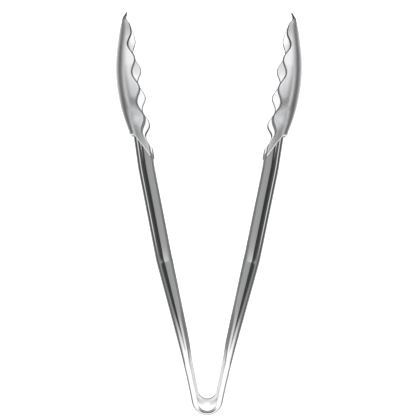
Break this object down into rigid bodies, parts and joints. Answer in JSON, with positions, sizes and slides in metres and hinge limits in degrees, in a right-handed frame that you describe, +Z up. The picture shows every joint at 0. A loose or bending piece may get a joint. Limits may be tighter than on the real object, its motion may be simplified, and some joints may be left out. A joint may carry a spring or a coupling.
{
  "type": "spring kitchen tongs",
  "caption": "Sprung stainless kitchen tongs with pressed channel arms, scalloped spoon jaws and a small bent tooth at each tip, shown open.",
  "frame": {"origin": "on the surface the tongs lie on, below the middle of their length and width", "axes": "+Y from the spring bow to the jaw tips, +X across the opening to the right arm, +Z up through the width of the sheet"},
  "size_m": [0.143, 0.3066, 0.0375],
  "materials": {
    "strip_steel": "mirror-polished stainless sheet",
    "jaw_steel": "satin-polished stainless sheet"
  },
  "bodies": {
    "bow": {"spring_bow": "strip_steel"},
    "left_side": {"left_arm": "strip_steel", "left_jaw": "jaw_steel"},
    "right_side": {"right_arm": "strip_steel", "right_jaw": "jaw_steel"}
  },
  "joints": [
    {"name": "right_squeeze", "type": "hinge", "parent": "bow", "child": "right_side", "pos_m": [0.0099, -0.12934, 0.01876], "axis": [0, 0, 1], "range_deg": [0, 12.3], "stiffness_Nm_per_rad": 5},
    {"name": "left_squeeze", "type": "hinge", "parent": "bow", "child": "left_side", "pos_m": [-0.0099, -0.12934, 0.01876], "axis": [0, 0, -1], "range_deg": [0, 12.3], "stiffness_Nm_per_rad": 5}
  ],
  "couplings": [
    {"joint": "left_squeeze", "follows": "right_squeeze", "ratio": 1}
  ]
}
